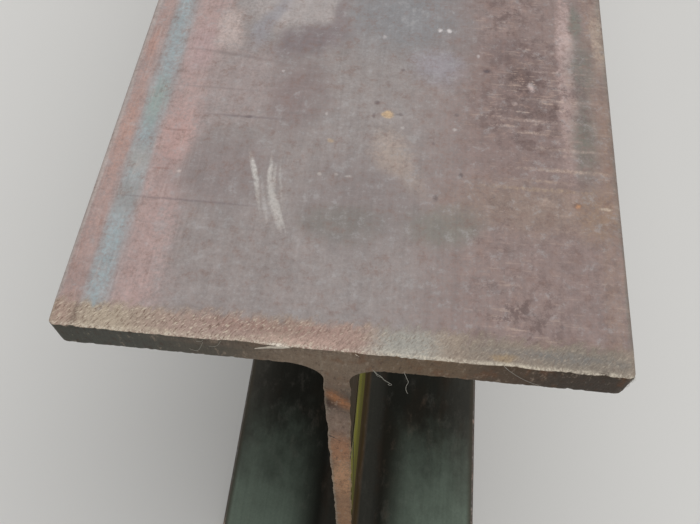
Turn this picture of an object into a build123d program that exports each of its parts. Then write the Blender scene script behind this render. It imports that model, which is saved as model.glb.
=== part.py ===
from build123d import *
import os

# A straight length of hot-rolled structural steel: an H section with parallel flanges.
# Millimetres. +Z is up, +Y runs along the beam and +X across its flanges. The origin is the
# middle of the face that the beam stands on.

# Rolled section
section_depth = 250.0
flange_width = 125.0
web_thickness = 6.0
flange_thickness = 9.0
root_radius = 8.0
toe_outer_radius = 1.0
toe_inner_radius = 2.5

# Length that the stock is sold in
beam_length = 6000.0

# Cut ends: the flange corners are knocked round, and a grinder has taken off the saw burr
corner_radius = 2.0
dressed_run = 6.0
dressed_drop = 0.3

# Paper sticker on the web, at the near end and halfway up
label_height = 90.0
label_run = 60.0
label_thickness = 0.15
label_corner_radius = 3.0
label_setback = 1.0


def section_outline() -> Sketch:
    """The rolled section, seen along the beam.

    A blank of the full size loses a bay on each side of the web. Then the four root corners, the
    four outer toes and the four inner toes are rounded, each group by its own radius.

    Returns:
        The section, centred on the origin of its sketch.
    """
    bay_width = (flange_width - web_thickness) / 2
    bay_height = section_depth - 2 * flange_thickness
    bay_centre = (flange_width + web_thickness) / 4
    bay = Rectangle(bay_width, bay_height)
    section = Rectangle(flange_width, section_depth) - Pos(bay_centre, 0) * bay - Pos(-bay_centre, 0) * bay

    roots = section.vertices().group_by(lambda corner: abs(corner.X))[0]
    section = fillet(roots, root_radius)
    outer_toes = section.vertices().group_by(lambda corner: abs(corner.Y))[-1]
    section = fillet(outer_toes, toe_outer_radius)
    tips = section.vertices().group_by(lambda corner: abs(corner.X))[-1]
    inner_toes = tips.group_by(lambda corner: abs(corner.Y))[0]
    return fillet(inner_toes, toe_inner_radius)


def plan_outline() -> Sketch:
    """The beam seen from above: the corners of its flanges are round at the cut ends."""
    return RectangleRounded(flange_width, beam_length, corner_radius)


def side_outline() -> Sketch:
    """The beam seen from the side: its cut ends are ground to a low slope, above and below."""
    half_length = beam_length / 2
    half_depth = section_depth / 2
    flat_half_length = half_length - dressed_run
    dressed_half_depth = half_depth - dressed_drop
    outline = Polyline(
        (-half_length, dressed_half_depth),
        (-flat_half_length, half_depth),
        (flat_half_length, half_depth),
        (half_length, dressed_half_depth),
        (half_length, -dressed_half_depth),
        (flat_half_length, -half_depth),
        (-flat_half_length, -half_depth),
        (-half_length, -dressed_half_depth),
        close=True,
    )
    return make_face(outline)


def rolled_beam() -> Part:
    """The beam: what its section, plan and side outlines have in common.

    The plan and side outlines reach well past the section, so that they trim only its ends.

    Returns:
        One solid that stands on Z = 0.
    """
    rolled = extrude(Plane.XZ * section_outline(), amount=beam_length / 2, both=True)
    plan = extrude(plan_outline(), amount=section_depth, both=True)
    side = extrude(Plane.YZ * side_outline(), amount=flange_width, both=True)
    return Pos(0, 0, section_depth / 2) * (rolled & plan & side)


def web_label() -> Part:
    """The paper sticker, face to face on the web, as a thin sheet with round corners."""
    middle = (
        web_thickness / 2,
        -beam_length / 2 + label_setback + label_run / 2,
        section_depth / 2,
    )
    web_face = Plane(origin=middle, x_dir=(0, 1, 0), z_dir=(1, 0, 0))
    outline = RectangleRounded(label_run, label_height, label_corner_radius)
    return extrude(web_face * outline, amount=label_thickness)


os.makedirs("parts", exist_ok=True)
export_step(rolled_beam(), "parts/rolled_beam.step")
export_step(web_label(), "parts/web_label.step")
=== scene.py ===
"""A six-metre stick of hot-rolled structural steel, lying on its bottom flange.

The beam is one mesh that stands for the CAD beam: the rolled section is drawn and rounded, drawn out to
its length, cut into a grid and then worn at its two sawn ends. The paper sticker on its web is the second
piece, and the lint that its near cut has caught is the third. Sizes are in metres, and patterns are in
millimetres, worked out from real sizes.
"""

import logging
import math
from collections.abc import Iterable
from dataclasses import dataclass, replace
from enum import Enum

import bmesh
import bpy
from bmesh.types import BMEdge, BMesh, BMFace, BMVert
from bpy.types import ID, Material, Node, NodeTree, Object
from bpy.types import NodeSocket as Socket
from mathutils import Matrix, Vector, noise


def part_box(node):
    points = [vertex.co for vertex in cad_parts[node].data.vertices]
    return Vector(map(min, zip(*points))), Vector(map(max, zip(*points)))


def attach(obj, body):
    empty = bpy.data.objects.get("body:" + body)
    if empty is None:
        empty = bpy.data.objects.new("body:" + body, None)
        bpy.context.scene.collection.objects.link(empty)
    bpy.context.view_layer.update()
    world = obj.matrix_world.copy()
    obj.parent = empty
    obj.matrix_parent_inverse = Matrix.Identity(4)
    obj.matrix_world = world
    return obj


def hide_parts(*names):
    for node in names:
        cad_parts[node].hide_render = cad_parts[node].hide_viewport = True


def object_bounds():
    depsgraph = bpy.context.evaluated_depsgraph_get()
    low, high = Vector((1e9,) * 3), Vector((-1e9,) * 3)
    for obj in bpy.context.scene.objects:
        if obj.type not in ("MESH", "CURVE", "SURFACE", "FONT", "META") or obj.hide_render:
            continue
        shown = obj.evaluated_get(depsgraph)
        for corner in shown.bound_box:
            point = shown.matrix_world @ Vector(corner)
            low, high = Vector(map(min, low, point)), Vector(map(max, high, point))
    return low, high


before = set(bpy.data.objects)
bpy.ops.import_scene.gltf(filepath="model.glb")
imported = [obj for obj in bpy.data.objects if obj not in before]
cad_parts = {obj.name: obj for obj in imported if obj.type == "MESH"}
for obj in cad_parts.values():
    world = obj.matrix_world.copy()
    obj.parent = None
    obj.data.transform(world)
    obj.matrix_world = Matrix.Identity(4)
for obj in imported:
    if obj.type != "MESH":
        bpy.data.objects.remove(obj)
CAD_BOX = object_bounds()
LOG = logging.getLogger("beam")

MM = 0.001

# Length of a stripe that runs the whole beam, and depth of a mark, which is laid on one face only.
# Both are in millimetres, and are more than enough.
LONG = 24000.0
FACE_DEPTH = 1000.0

# How far the noise is moved for the far end, so that its raggedness isn't the near end's.
FAR_SEED = 70.0


class Grain(Enum):
    """How the outline of a mark wanders: a wobble's width and length, and its reach, in millimetres."""

    CLOUD = (14.0, 14.0, 7.0)
    STAIN = (3.5, 4.5, 1.6)
    STRIPE = (1.4, 22.0, 1.5)
    SCRATCH = (2.5, 2.5, 0.4)


class Zone(Enum):
    """The parts of the beam's surface that look their own way, as the mesh's material slots."""

    TOP = 0
    BOTTOM = 1
    BAY = 2
    SAWN = 3
    BURR = 4


@dataclass(frozen=True)
class Mark:
    """A patch, stripe, stain or scratch on a flat face, as an oval. Its sizes are in millimetres.

    Attributes:
        across: Place of its middle across the beam, from the web's middle plane.
        along: Place of its middle along the face, from the cut edge.
        width: Its size across the beam, before it is turned.
        length: Its size along the face, before it is turned.
        colour: The sRGB colour that it leads to, as hex.
        strength: How much of that colour it has at its middle.
        turn: Degrees that it is turned, counter-clockwise.
        soft: Share of its radius over which it fades, on each side of its outline.
        broken: How much noise breaks it up, from 0 to 1.
        grain: How far its outline wanders.
    """

    across: float
    along: float
    width: float
    length: float
    colour: str
    strength: float = 0.8
    turn: float = 0.0
    soft: float = 0.6
    broken: float = 0.0
    grain: Grain = Grain.CLOUD


def with_grain(grain: Grain, *marks: Mark) -> list[Mark]:
    """The marks, with outlines that wander by one grain."""
    return [replace(mark, grain=grain) for mark in marks]


def linear(hex_colour: str) -> tuple[float, float, float, float]:
    """Turns an sRGB hex colour into the linear colour that a shader takes.

    Args:
        hex_colour: Such as "#958e8b".

    Returns:
        Red, green, blue and an alpha of 1.
    """
    shares = [int(hex_colour[i : i + 2], 16) / 255 for i in (1, 3, 5)]
    red, green, blue = (s / 12.92 if s <= 0.04045 else ((s + 0.055) / 1.055) ** 2.4 for s in shares)
    return red, green, blue, 1.0


def feed(node: Node, inputs: dict) -> None:
    """Gives a node's inputs their values and links.

    Args:
        node: The node.
        inputs: A value, or the socket to link from, for each input's name or number.
    """
    for key, value in inputs.items():
        if isinstance(value, Socket):
            node.id_data.links.new(value, node.inputs[key])
        else:
            node.inputs[key].default_value = value


def add_node(tree: NodeTree, kind: str, inputs: dict | None = None, **settings) -> Node:
    """Adds a shader node with its settings, values and links.

    Args:
        tree: The material's or world's node tree.
        kind: The node's type, without the word ShaderNode before it.
        inputs: A value, or the socket to link from, for each input's name or number.
        **settings: The node's own settings.

    Returns:
        The new node.
    """
    node = tree.nodes.new("ShaderNode" + kind)
    for name, value in settings.items():
        setattr(node, name, value)
    feed(node, inputs or {})
    return node


class Painter:
    """Lays colour over colour in one material, on places measured in millimetres.

    Attributes:
        tree: The material's node tree.
        across: The distance from the web's middle plane.
        along: The distance from the near cut.
        up: The height above the floor.
        face: The point on the face that marks are placed on.
        colour: The colour so far.
        normal: The bump so far.
        fields: The face's points, shaken as each grain says.
        grit: Fine noise that every finish shares.
        fray: The grit, as a factor that breaks the soft edges of marks.
        crumble: Where a broken mark has gaps.
    """

    def __init__(self, name: str, base: str, axes: str = "xyz") -> None:
        """Starts a material.

        Args:
            name: What the material is.
            base: The sRGB colour under everything, as hex.
            axes: The beam's axes that a mark's across, along and depth follow.
        """
        self.material = bpy.data.materials.new(name)
        self.material.use_nodes = True
        self.tree = self.material.node_tree
        self.shader = self.tree.nodes["Principled BSDF"]
        texture = self.add("TexCoord", output="Object")
        near_cut = (0.0, -CAD_BOX[0].y / MM, 0.0)
        place = self.add("Mapping", {0: texture, "Location": near_cut, "Scale": (1 / MM,) * 3})
        parts = add_node(self.tree, "SeparateXYZ", {0: place}).outputs
        self.across, self.along, self.up = parts
        self.face = self.add("CombineXYZ", {i: parts["xyz".index(axis)] for i, axis in enumerate(axes)})
        self.start(base)
        self.normal: Socket | None = None
        self.fields = {grain: self.shaken(*grain.value) for grain in Grain}
        self.grit = self.noise(0.8, detail=4.0, roughness=0.7)
        self.fray = self.add("Math", {0: self.grit, 1: 2.4, 2: -0.2}, operation="MULTIPLY_ADD")
        gaps = self.noise(1.5, (1.0, 1.6, 1.0), detail=4.0, roughness=0.7, shift=50.0)
        self.crumble = self.where(gaps, 0.4, 0.58)

    def add(self, kind: str, inputs: dict | None = None, output: int | str = 0, **settings) -> Socket:
        """Adds a node to this material and gives one of its outputs."""
        return add_node(self.tree, kind, inputs, **settings).outputs[output]

    def start(self, base: str) -> None:
        """Starts the colour again from one sRGB hex colour."""
        self.colour = self.add("RGB")
        self.colour.default_value = linear(base)

    def noise(
        self,
        grain: float,
        stretch: tuple[float, float, float] = (1.0, 1.0, 1.0),
        turn: float = 0.0,
        detail: float = 2.0,
        roughness: float = 0.5,
        shift: float = 0.0,
    ) -> Socket:
        """Noise whose lumps are about one grain across.

        Even noise is tilted out of the face, because its lattice would show on a face that lies along it.

        Args:
            grain: Size of a lump in millimetres.
            stretch: How many grains long a lump is along each axis of the face.
            turn: Degrees that its long direction is turned, counter-clockwise.
            detail: How many finer layers it has.
            roughness: How strong the finer layers are.
            shift: Moves the pattern, so that two layers don't match.

        Returns:
            The socket with values from 0 to 1.
        """
        tilt = 0.6 if len(set(stretch)) == 1 else 0.0
        inputs = {
            "Vector": self.face,
            "Location": (shift, shift, shift + 0.37 * grain),
            "Rotation": (tilt, 0.7 * tilt, math.radians(turn) + tilt),
            "Scale": tuple(grain * s for s in stretch),
        }
        place = self.add("Mapping", inputs, vector_type="TEXTURE")
        inputs = {"Vector": place, "Scale": 1.0, "Detail": detail, "Roughness": roughness}
        return self.add("TexNoise", inputs, output="Fac")

    def shaken(self, width: float, length: float, reach: float) -> Socket:
        """The face's places, shaken by noise so that outlines wander.

        Args:
            width: Size of one wobble across the face, in millimetres.
            length: Size of one wobble along it, in millimetres.
            reach: How far a place can move, in millimetres.

        Returns:
            The socket with the shaken places.
        """
        place = self.add("Mapping", {"Vector": self.face, "Scale": (1 / width, 1 / length, 1 / width)})
        inputs = {"Vector": place, "Scale": 1.0, "Detail": 4.0, "Roughness": 0.6}
        wobble = self.add("TexNoise", inputs, output="Color")
        spread = {0: wobble, 1: (2 * reach, 2 * reach, 0.0), 2: (-reach, -reach, 0.0)}
        offset = self.add("VectorMath", spread, operation="MULTIPLY_ADD")
        return self.add("Mapping", {"Vector": self.face, "Location": offset})

    def where(
        self,
        value: Socket,
        start: float,
        end: float,
        strength: float = 1.0,
        ragged: tuple[Socket, float] | None = None,
        within: Socket | None = None,
    ) -> Socket:
        """Where a value has passed from a start to an end, as a smooth step.

        Args:
            value: What is stepped.
            start: Where the step is still 0.
            end: Where the step has reached its strength.
            strength: The height of the step.
            ragged: Noise that the value is moved by, and how far a noise of 1 moves it.
            within: An area, from 0 to 1, that the step is kept to.

        Returns:
            The socket with the step.
        """
        if ragged is not None:
            value = self.add("Math", {0: ragged[0], 1: ragged[1], 2: value}, operation="MULTIPLY_ADD")
        inputs = {"Value": value, "From Min": start, "From Max": end, "To Min": 0.0, "To Max": strength}
        return self.keep(self.add("MapRange", inputs, interpolation_type="SMOOTHSTEP"), within)

    def keep(self, value: Socket, within: Socket | float | None) -> Socket:
        """A value, kept to an area or a share if there is one."""
        return value if within is None else self.add("Math", {0: value, 1: within}, operation="MULTIPLY")

    def tint(self, cover: Socket, colour: str | Socket) -> None:
        """Lays a colour over the colour so far.

        Args:
            cover: Where it goes, from 0 to 1.
            colour: An sRGB hex colour or a socket.
        """
        over = linear(colour) if isinstance(colour, str) else colour
        self.colour = self.add("Mix", {0: cover, 6: self.colour, 7: over}, output=2, data_type="RGBA")

    def merge(self, under: Socket, cover: Socket) -> None:
        """Lays the colour so far over an earlier one, where a cover from 0 to 1 says."""
        over, self.colour = self.colour, under
        self.tint(cover, over)

    def shade(self, factor: Socket) -> None:
        """Makes the colour so far lighter or darker by a factor around 1."""
        self.colour = self.add("HueSaturation", {"Value": factor, "Color": self.colour})

    def speckle(self, noises: Iterable[tuple[Socket, float]]) -> None:
        """Makes the colour vary in lightness.

        Args:
            noises: Noise sockets, each with how much it changes the lightness.
        """
        factor: float | Socket = 1.0
        for value, amount in noises:
            change = self.add("Math", {0: value, 1: amount, 2: -amount / 2}, operation="MULTIPLY_ADD")
            factor = self.add("Math", {0: factor, 1: change}, operation="ADD")
        self.shade(factor)

    def cover(self, mark: Mark) -> Socket:
        """Where a mark is.

        Args:
            mark: The mark.

        Returns:
            The socket with its cover, from 0 to its strength.
        """
        reach = (1 + mark.soft) / 2
        inputs = {
            "Vector": self.fields[mark.grain],
            "Location": (mark.across, mark.along, 0.0),
            "Rotation": (0.0, 0.0, math.radians(mark.turn)),
            "Scale": (mark.width * reach, mark.length * reach, FACE_DEPTH),
        }
        oval = self.add("Mapping", inputs, vector_type="TEXTURE")
        inside = self.add("TexGradient", {0: oval}, output="Fac", gradient_type="SPHERICAL")
        left = None
        if mark.broken:
            left = self.add("Math", {0: self.crumble, 1: -mark.broken, 2: 1.0}, operation="MULTIPLY_ADD")
        return self.where(self.keep(inside, self.fray), 0.0, mark.soft / reach, mark.strength, within=left)

    def lay(self, marks: Iterable[Mark]) -> None:
        """Lays marks over the colour so far, in their order."""
        for mark in marks:
            self.tint(self.cover(mark), mark.colour)

    def block(self, across: tuple[float, float], along: tuple[float, float], edge: float) -> Socket:
        """Where a rectangle is.

        Args:
            across: Its start and end across the face.
            along: Its start and end along the face.
            edge: How wide its soft edge is.

        Returns:
            The socket with its cover, from 0 to 1.
        """
        cover = None
        sides = add_node(self.tree, "SeparateXYZ", {0: self.face}).outputs
        for side, (start, end) in zip(sides, (across, along)):
            half = (end - start) / 2
            from_middle = self.add("Math", {0: side, 1: start + half}, operation="SUBTRACT")
            off = self.add("Math", {0: from_middle}, operation="ABSOLUTE")
            cover = self.where(off, half + edge / 2, half - edge / 2, within=cover)
        return cover

    def from_cut(self) -> Socket:
        """The distance from the nearer cut, in millimetres."""
        half = (CAD_BOX[1].y - CAD_BOX[0].y) / 2 / MM
        past_middle = self.add("Math", {0: self.along, 1: half}, operation="SUBTRACT")
        from_middle = self.add("Math", {0: past_middle}, operation="ABSOLUTE")
        return self.add("Math", {0: half, 1: from_middle}, operation="SUBTRACT")

    def emboss(
        self,
        heights: Iterable[tuple[Socket, float]],
        depth: float,
        within: Socket | None = None,
    ) -> None:
        """Raises the surface over what was raised so far.

        Args:
            heights: Sockets, each with its share of the height.
            depth: How many metres high a height of 1 is.
            within: An area, from 0 to 1, that it is kept to.
        """
        height: float | Socket = 0.0
        for value, share in heights:
            height = self.add("Math", {0: value, 1: share, 2: height}, operation="MULTIPLY_ADD")
        inputs = {"Height": self.keep(height, within), "Distance": depth, "Strength": 1.0}
        if self.normal is not None:
            inputs["Normal"] = self.normal
        self.normal = self.add("Bump", inputs)

    def finish(self, roughness: Socket | float, specular: float = 0.5) -> Material:
        """Gives the shader what was painted.

        Args:
            roughness: A value or a socket.
            specular: The level of the mirror part: 0.5 is a closed surface, and less a porous, dusty one.

        Returns:
            The material.
        """
        surface = {"Base Color": self.colour, "Normal": self.normal}
        feed(self.shader, surface | {"Roughness": roughness, "Specular IOR Level": specular})
        return self.material


EDGE_STRIPES = [
    Mark(44, 0, 52, LONG, "#8c7670", 0.8, soft=0.5),
    Mark(-52, 0, 26, LONG, "#a1918e", 0.8, soft=0.3),
    *with_grain(
        Grain.STRIPE,
        Mark(-46, 0, 9.4, LONG, "#b39893", 0.95, soft=0.8, broken=0.2),
        Mark(-59, 0, 5.0, LONG, "#ad8f87", 0.9, soft=0.95, broken=0.3),
        Mark(-53.6, 0, 4.8, LONG, "#99a9ad", 0.95, soft=0.95, broken=0.2),
        Mark(-61.9, 0, 1.6, LONG, "#b0a59f", 0.8, soft=0.5),
        Mark(59, 0, 5, LONG, "#957e72", 0.8, soft=0.5, broken=0.5),
        Mark(62.2, 0, 1.8, LONG, "#81786f", 0.8, soft=0.5),
    ),
]

UNDERSIDE_STRIPES = [
    Mark(0, 0, 70, LONG, "#7f7570", 0.7, soft=0.6),
    *with_grain(
        Grain.STRIPE,
        Mark(-52, 0, 12, LONG, "#8d8178", 0.6, soft=0.6),
        Mark(62.4, 0, 4.4, LONG, "#4d4a42", 0.95, soft=0.3),
        Mark(-62.4, 0, 4.4, LONG, "#4d4a42", 0.95, soft=0.3),
    ),
]

TOP_CLOUDS = [
    Mark(8, 102, 34, 30, "#878688", 0.95),
    Mark(0, 75, 22, 34, "#98908d", 0.4),
    Mark(-22, 104, 28, 22, "#aca3a0", 0.95, soft=0.35),
    Mark(-29.5, 97, 5.5, 24, "#959195", 0.85, turn=-19),
    Mark(-17, 90, 25, 10, "#7e7273", 0.9, turn=28, soft=0.5),
    Mark(-9, 102, 5, 17, "#857979", 0.8),
    Mark(-33, 73, 20, 24, "#a1928f", 0.8),
    Mark(-18, 71, 14, 24, "#82716f", 0.7),
    Mark(-33, 44, 24, 22, "#8b7f7d", 0.85),
    Mark(18, 84, 12, 12, "#9a949a", 0.8),
    Mark(10, 53, 8, 20, "#a8988e", 0.9, turn=34),
    Mark(2, 40, 26, 22, "#837876", 0.7),
    # Painted shadow: a darker grey-green strip across the flange, about 34 mm from the cut.
    Mark(22, 34, 18, 10, "#7c7971", 0.8),
    Mark(-3, 33, 18, 8, "#7d7872", 0.7),
    Mark(43, 41, 38, 15, "#927e72", 0.8),
    Mark(31, 66, 14, 26, "#8c7974", 0.7),
    Mark(41, 75, 22, 38, "#7b6763", 0.7),
    *with_grain(
        Grain.STAIN,
        Mark(42, 72, 11, 9, "#66534f", 0.6, broken=0.4),
        Mark(40, 82, 8, 9, "#523f3c", 0.9, broken=0.3),
        Mark(36, 92, 14, 9, "#6f5d5b", 0.6, broken=0.3),
        Mark(51.5, 84, 4.6, 70, "#b89f99", 0.85, soft=0.4, broken=0.3),
        Mark(52, 96, 4.4, 18, "#c4aea9", 0.9, broken=0.2),
        Mark(55.6, 87, 6, 20, "#6d6f67", 0.9, soft=0.95, broken=0.25),
        Mark(55.2, 63, 6, 21, "#6c6e63", 0.9, soft=0.95, broken=0.25),
        Mark(54.8, 105, 3.6, 12, "#767a70", 0.8),
        Mark(60.6, 99, 3.6, 22, "#b3a08f", 0.8, broken=0.3),
        Mark(60.6, 60, 3.2, 40, "#8c7465", 0.8, broken=0.4),
        Mark(57, 40, 9, 14, "#94785f", 0.6, broken=0.5),
    ),
    *with_grain(
        Grain.STRIPE,
        Mark(-59, 55, 3.5, 22, "#b28d80", 0.7, soft=0.9, broken=0.2),
        Mark(-59.5, 85, 3, 11, "#b08b7f", 0.7),
        Mark(-53.6, 65, 4.6, 16, "#93a09a", 0.8),
        Mark(-53.6, 46, 5.5, 9, "#a19c97", 0.7),
        Mark(-53.6, 35, 5.5, 10, "#948e8a", 0.6),
        Mark(-46, 54, 7.5, 20, "#b99892", 0.8, soft=0.5),
        Mark(-46, 85, 7.5, 18, "#b19897", 0.7, soft=0.5),
    ),
    Mark(-40, 94, 6.5, 17, "#bfaea8", 0.85),
]

RUST_THICK = Mark(43, 77, 24, 44, "#5a4440", 1.0, soft=0.9)

TOP_HAIRLINES = with_grain(
    Grain.SCRATCH,
    Mark(-34, 83, 17, 1.1, "#7a6d6b", 0.6, turn=-7, soft=0.9),
    Mark(-46, 84.3, 9, 0.7, "#8f7b78", 0.5, soft=0.9),
    Mark(-40, 71, 20, 0.6, "#827674", 0.5, soft=0.9),
    Mark(-29, 62, 17, 0.7, "#75696a", 0.7, soft=0.9),
    Mark(-29, 62.1, 1.8, 1.0, "#6c6061", 0.7),
    Mark(-46, 56, 5, 0.6, "#8c6a62", 0.7, soft=0.9),
    Mark(-47.5, 43.7, 4, 0.6, "#8c6a62", 0.7, soft=0.9),
    Mark(-40, 35, 30, 0.6, "#74686a", 0.6, soft=0.9),
)

TOP_SCUFFS = [
    *with_grain(
        Grain.SCRATCH,
        Mark(-24.6, 44.6, 1.2, 11, "#d2cec8", 0.9, turn=19, broken=0.3),
        Mark(-23.0, 38.5, 0.8, 9, "#bfbab4", 0.7, turn=17, broken=0.4),
        Mark(-20.9, 45, 1.1, 8, "#cbc6c0", 0.8, turn=4, broken=0.4),
        Mark(-19.6, 44, 0.8, 7, "#c2bdb7", 0.7, turn=8, broken=0.4),
        Mark(-18.4, 45, 0.6, 7, "#b9b3ae", 0.6, turn=6, broken=0.5),
        Mark(-19.6, 38.6, 1.7, 10, "#d0cbc5", 0.9, turn=13, broken=0.3),
        Mark(-18.0, 35, 1.6, 11, "#cfcac4", 0.9, turn=18, broken=0.35),
        Mark(-16.7, 33.5, 0.8, 9, "#c4bfb9", 0.75, turn=21, broken=0.4),
        Mark(-20.8, 35.6, 0.9, 9, "#bdb7b3", 0.7, turn=16, broken=0.5),
        Mark(-21.8, 39.5, 0.7, 8, "#b3adab", 0.65, turn=13, broken=0.5),
        Mark(-17.6, 40.5, 0.6, 8, "#b6b0ab", 0.6, turn=11, broken=0.5),
    ),
    Mark(-19.2, 37.5, 6.5, 14, "#a29a95", 0.45, turn=14, soft=0.9, broken=0.3, grain=Grain.STAIN),
]

TOP_SPECKS = with_grain(
    Grain.SCRATCH,
    Mark(6, 66.2, 3.0, 2.4, "#cfb38e", 1.0, soft=0.4),
    Mark(-7.5, 56.4, 1.7, 1.2, "#b59d83", 0.8),
    Mark(-9, 45.8, 1.1, 0.9, "#c3bdb8", 0.8),
    Mark(-5, 46, 1.0, 0.8, "#bcb5b1", 0.7),
    Mark(-2, 45.8, 1.6, 0.7, "#bcb5b1", 0.7),
    Mark(-43, 43.3, 1.0, 0.9, "#c9b9b2", 0.7),
    Mark(18, 98, 1.3, 1.5, "#dcd6d5", 0.95),
    Mark(20.5, 98, 1.2, 1.4, "#d6d0cf", 0.95),
    Mark(3, 94, 1.0, 1.4, "#b8b1b0", 0.7),
    Mark(28.5, 89, 0.9, 1.2, "#bfb6b4", 0.7),
    Mark(23, 63, 1.0, 1.0, "#c2bab7", 0.7),
    Mark(10, 62.3, 0.9, 0.9, "#bdb5b1", 0.7),
    Mark(-22.7, 78.6, 0.9, 0.9, "#bbb2b0", 0.7),
    Mark(-9.5, 65, 0.8, 0.9, "#b8b0ad", 0.7),
    Mark(3, 70, 1.4, 1.3, "#5f5354", 0.8),
    Mark(2.5, 65.5, 0.9, 1.6, "#675a5a", 0.7),
    Mark(9, 66.5, 1.6, 0.8, "#6a5d5c", 0.7),
    Mark(30.9, 83.9, 1.8, 1.5, "#54464a", 0.95),
    Mark(23.3, 67.8, 1.1, 1.1, "#66595a", 0.7),
    Mark(25, 48.8, 1.0, 1.4, "#5e5150", 0.8),
    Mark(19.2, 41.5, 1.2, 2.0, "#645756", 0.7),
    Mark(8.8, 82, 1.0, 1.0, "#6d6162", 0.7),
    Mark(18, 58, 0.9, 1.0, "#6d6060", 0.6),
    Mark(42.3, 79, 1.4, 3.0, "#c7b1ac", 0.8, turn=20),
    Mark(38, 73, 1.4, 1.2, "#b19c96", 0.7),
    Mark(47.5, 92, 2.4, 1.8, "#bba7a0", 0.7, broken=0.4),
    Mark(45, 43, 3.6, 1.8, "#b5a195", 0.6, broken=0.4),
    Mark(52.5, 42.5, 2.2, 2.2, "#6d5140", 0.8),
    Mark(52.6, 42.4, 1.3, 1.2, "#c08a60", 0.9),
    Mark(59, 42.3, 2.6, 0.8, "#cfbda9", 0.8),
)

TOP_RUNS = with_grain(
    Grain.SCRATCH,
    Mark(50, 85, 13, 0.8, "#b8a49c", 0.7, soft=0.9, broken=0.7),
    Mark(52, 80.3, 12, 0.7, "#b09a92", 0.7, soft=0.9, broken=0.7),
    Mark(50, 75, 16, 0.9, "#b6a198", 0.7, soft=0.9, broken=0.8),
    Mark(45, 67.8, 18, 1.0, "#baa59c", 0.8, soft=0.9, broken=0.7),
    Mark(43, 64, 14, 0.8, "#ab968b", 0.7, soft=0.9, broken=0.8),
    Mark(51, 59, 16, 0.9, "#b39e93", 0.8, soft=0.9, broken=0.7),
    Mark(50, 52.5, 17, 1.0, "#c3ac9c", 0.9, soft=0.9, broken=0.6),
    Mark(44, 49, 12, 0.8, "#b39c8c", 0.7, soft=0.9, broken=0.7),
    Mark(44, 46.4, 20, 1.1, "#b0987f", 0.7, soft=0.9, broken=0.6),
)

DRESSED_MARKS = [
    *with_grain(
        Grain.STAIN,
        Mark(-59.5, 3, 5, 12, "#a98f82", 0.8),
        Mark(-50, 3, 13, 12, "#b5a692", 0.75, soft=0.7),
        Mark(-26, 3, 30, 12, "#a88f85", 0.85),
        Mark(0, 3, 20, 12, "#a98d82", 0.95, soft=0.5),
        Mark(-8, 1.6, 16, 2.4, "#c3a698", 0.8, soft=0.8, broken=0.3),
        Mark(-16, 4.6, 22, 3.0, "#8a6258", 0.6, soft=0.9, broken=0.5),
        Mark(15, 3, 15, 12, "#a19e96", 0.95, soft=0.5),
        Mark(14, 1.4, 14, 2.0, "#b9b4a8", 0.8, soft=0.8, broken=0.3),
        Mark(35, 3, 22, 12, "#8b7f73", 0.9, soft=0.5),
        Mark(53, 3, 22, 12, "#82796e", 0.9, soft=0.5),
        Mark(46, 3.6, 26, 2.0, "#757676", 0.6, soft=0.9, broken=0.4),
        Mark(35, 2.4, 5, 1.8, "#a98c62", 0.5),
    ),
    *with_grain(
        Grain.SCRATCH,
        Mark(-57, 2.5, 1.2, 9, "#6e5c50", 0.7),
        # Painted highlight: a pale line along the rim on the left half.
        Mark(-40, 1.0, 42, 1.4, "#cdbfa9", 0.6, soft=0.9, broken=0.7),
        Mark(-12.4, 0.5, 3.6, 0.7, "#f6ecdd", 1.0),
        # Painted highlight: a pale line along the rim on the right half.
        Mark(41, 0.6, 44, 1.3, "#cfc4b0", 0.9, soft=0.9, broken=0.7),
        Mark(56, 0.9, 1.8, 1.2, "#4c4138", 0.8),
    ),
]


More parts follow.
